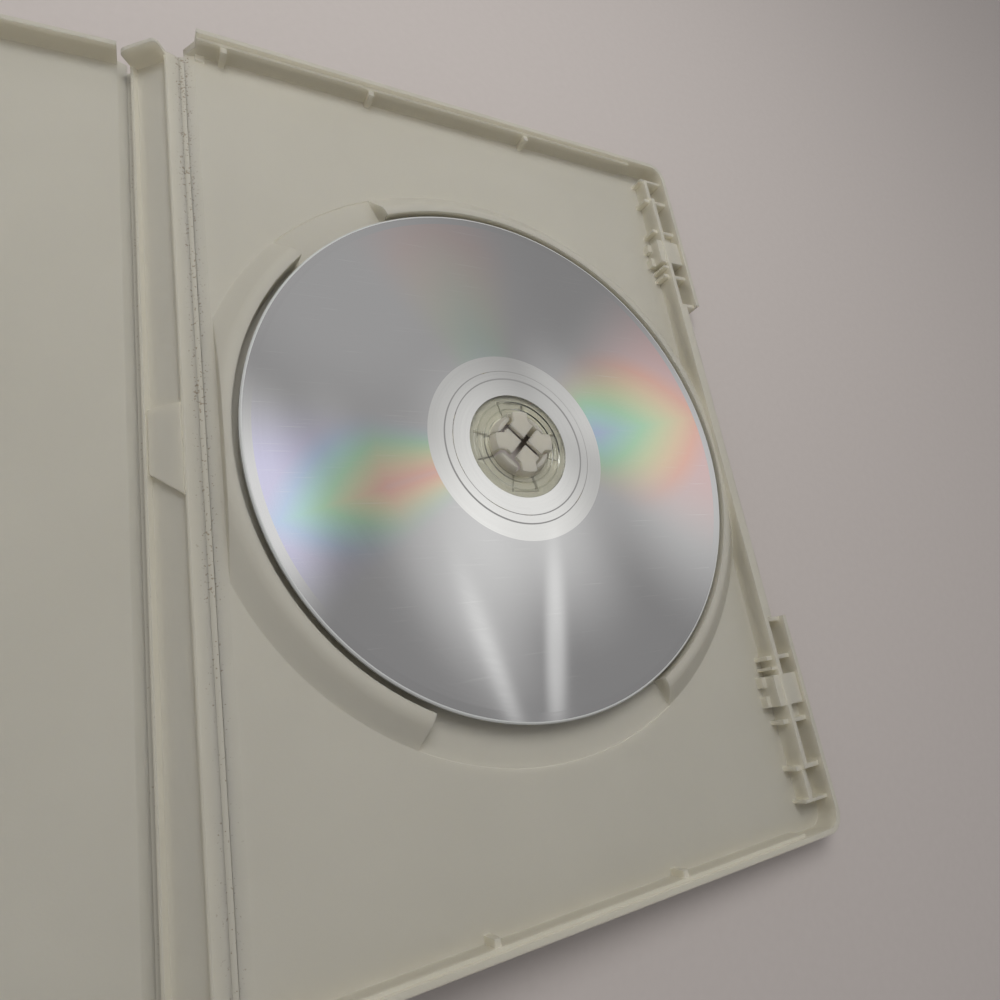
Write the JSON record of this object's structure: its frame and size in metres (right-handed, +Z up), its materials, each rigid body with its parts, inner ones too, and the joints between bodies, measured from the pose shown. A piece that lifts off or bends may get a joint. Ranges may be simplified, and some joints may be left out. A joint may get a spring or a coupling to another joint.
{
  "type": "game disc case",
  "caption": "Open moulded case for a game disc: a disc tray with a springy hub that holds a disc, a narrow spine and a plain front cover, joined by thin bending hinges.",
  "frame": {"origin": "middle of the case's footprint, on the table", "axes": "+X from the front cover to the disc tray, +Y to the case's upper edge, +Z up"},
  "size_m": [0.2802, 0.19, 0.014],
  "materials": {
    "moulding": "off-white moulded plastic, satin",
    "disc": "clear plastic over a mirror layer"
  },
  "bodies": {
    "tray": {"disc_tray": "moulding", "disc": "disc"},
    "spine": {"spine": "moulding", "tray_hinge_film": "moulding", "cover_hinge_film": "moulding"},
    "cover": {"front_cover": "moulding"},
    "finger_right": {"hub_finger_right": "moulding"},
    "finger_top": {"hub_finger_top": "moulding"},
    "finger_left": {"hub_finger_left": "moulding"},
    "finger_bottom": {"hub_finger_bottom": "moulding"}
  },
  "joints": [
    {"name": "tray_hinge", "type": "hinge", "parent": "tray", "child": "spine", "pos_m": [0.005, 0, 0.00777], "axis": [0, 1, 0], "range_deg": [-50, 129.96], "deforming": ["tray_hinge_film"]},
    {"name": "cover_hinge", "type": "hinge", "parent": "spine", "child": "cover", "pos_m": [-0.00514, 0, 0.0002], "axis": [0, 1, 0], "range_deg": [-126.75, 53.25], "deforming": ["cover_hinge_film"]},
    {"name": "press_right", "type": "hinge", "parent": "tray", "child": "finger_right", "pos_m": [0.08113, 0.001, 0.00635], "axis": [0, -1, 0], "range_deg": [0, 6], "stiffness_Nm_per_rad": 0.1},
    {"name": "press_top", "type": "hinge", "parent": "tray", "child": "finger_top", "pos_m": [0.07055, 0.0116, 0.00694], "axis": [0.9984, 0, -0.0561], "range_deg": [0, 6], "stiffness_Nm_per_rad": 0.1},
    {"name": "press_left", "type": "hinge", "parent": "tray", "child": "finger_left", "pos_m": [0.05997, 0.001, 0.00754], "axis": [0, 1, 0], "range_deg": [0, 6], "stiffness_Nm_per_rad": 0.1},
    {"name": "press_bottom", "type": "hinge", "parent": "tray", "child": "finger_bottom", "pos_m": [0.07055, -0.0096, 0.00694], "axis": [-0.9984, 0, 0.0561], "range_deg": [0, 6], "stiffness_Nm_per_rad": 0.1}
  ]
}
